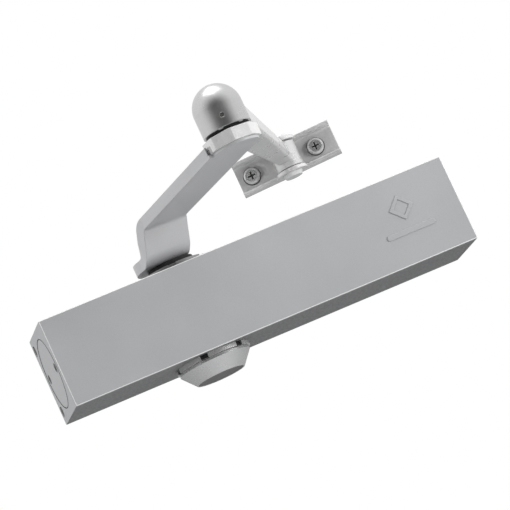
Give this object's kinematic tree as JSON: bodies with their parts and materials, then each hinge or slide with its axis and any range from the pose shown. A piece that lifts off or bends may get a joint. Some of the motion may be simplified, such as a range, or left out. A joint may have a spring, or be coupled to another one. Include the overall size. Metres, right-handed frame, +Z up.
{
  "type": "door closer",
  "caption": "Overhead door closer: rectangular hydraulic body, cranked main arm with a domed ball elbow, forearm and pivoting bracket.",
  "frame": {"origin": "centre of the body's back mounting face, which lies against the door", "axes": "+X along the body towards its spring end, +Y out of the back face into the door, +Z up along the pinion axis towards the arm"},
  "size_m": [0.23, 0.1671, 0.1161],
  "materials": {
    "body_silver": "fine satin silver paint",
    "plug_metal": "turned, satin",
    "bright_ring": "turned, bright",
    "cap_satin": "satin grey",
    "cap_dark": "satin dark",
    "arm_satin": "satin silver paint",
    "arm_nickel": "satin nickel",
    "zinc": "bright zinc plate",
    "steel": "plain steel",
    "bronze": "machined",
    "nylon": "moulded",
    "seal_rubber": "moulded"
  },
  "bodies": {
    "closer_body": {"housing": "body_silver", "front_cover": "body_silver", "left_end_plug": "plug_metal", "right_end_plug": "plug_metal", "left_plug_seal": "seal_rubber", "right_plug_seal": "seal_rubber", "upper_bearing_nut": "bright_ring", "lower_bearing_nut": "bright_ring", "upper_bearing": "bronze", "lower_bearing": "bronze", "upper_shaft_seal": "seal_rubber", "lower_shaft_seal": "seal_rubber", "pinion_cap": "cap_satin", "cap_disc": "cap_dark", "spring_seat": "steel", "closing_spring": "steel"},
    "piston": {"piston": "steel", "piston_seal": "seal_rubber", "check_valve_body": "bronze", "check_valve_ball": "steel"},
    "main_arm": {"pinion_shaft": "steel", "main_arm": "arm_satin", "arm_washer": "steel", "arm_screw": "steel", "ball_stud": "zinc"},
    "elbow_liner": {"ball_liner": "nylon"},
    "forearm": {"forearm": "arm_nickel", "elbow_ring": "seal_rubber", "pivot_bush": "bronze"},
    "bracket": {"bracket": "zinc", "pivot_pin": "zinc", "bracket_screws": "steel"},
    "sweep_valve": {"sweep_valve": "bronze", "sweep_valve_seal": "seal_rubber"},
    "latch_valve": {"latch_valve": "bronze", "latch_valve_seal": "seal_rubber"}
  },
  "joints": [
    {"name": "arm_swing", "type": "hinge", "parent": "closer_body", "child": "main_arm", "pos_m": [-0.035, -0.024, 0], "axis": [0, 0, 1], "range_deg": [-165, 0], "stiffness_Nm_per_rad": 0.6, "springref_deg": 11.46},
    {"name": "piston_slide", "type": "slide", "parent": "closer_body", "child": "piston", "axis": [1, 0, 0], "range_m": [0, 0.02305], "deforming": ["closing_spring"]},
    {"name": "elbow_swivel", "type": "hinge", "parent": "main_arm", "child": "elbow_liner", "pos_m": [-0.0107, -0.1513, 0.066], "axis": [0, 0, 1], "range_deg": [-140, 14]},
    {"name": "elbow_tilt", "type": "hinge", "parent": "elbow_liner", "child": "forearm", "pos_m": [-0.0107, -0.1513, 0.066], "axis": [0.9122, -0.4098, 0], "range_deg": [-7, 7]},
    {"name": "bracket_pivot", "type": "hinge", "parent": "forearm", "child": "bracket", "pos_m": [0.0447, -0.028, 0.058], "axis": [0, 0, 1], "range_deg": [-88, 71]},
    {"name": "sweep_valve_turn", "type": "hinge", "parent": "closer_body", "child": "sweep_valve", "pos_m": [-0.115, -0.0045, 0.0173], "axis": [-1, 0, 0], "range_deg": [-270, 270]},
    {"name": "latch_valve_turn", "type": "hinge", "parent": "closer_body", "child": "latch_valve", "pos_m": [-0.115, -0.0045, -0.0173], "axis": [-1, 0, 0], "range_deg": [-270, 270]}
  ],
  "couplings": [
    {"joint": "piston_slide", "follows": "arm_swing", "m_per_rad": -0.008}
  ]
}
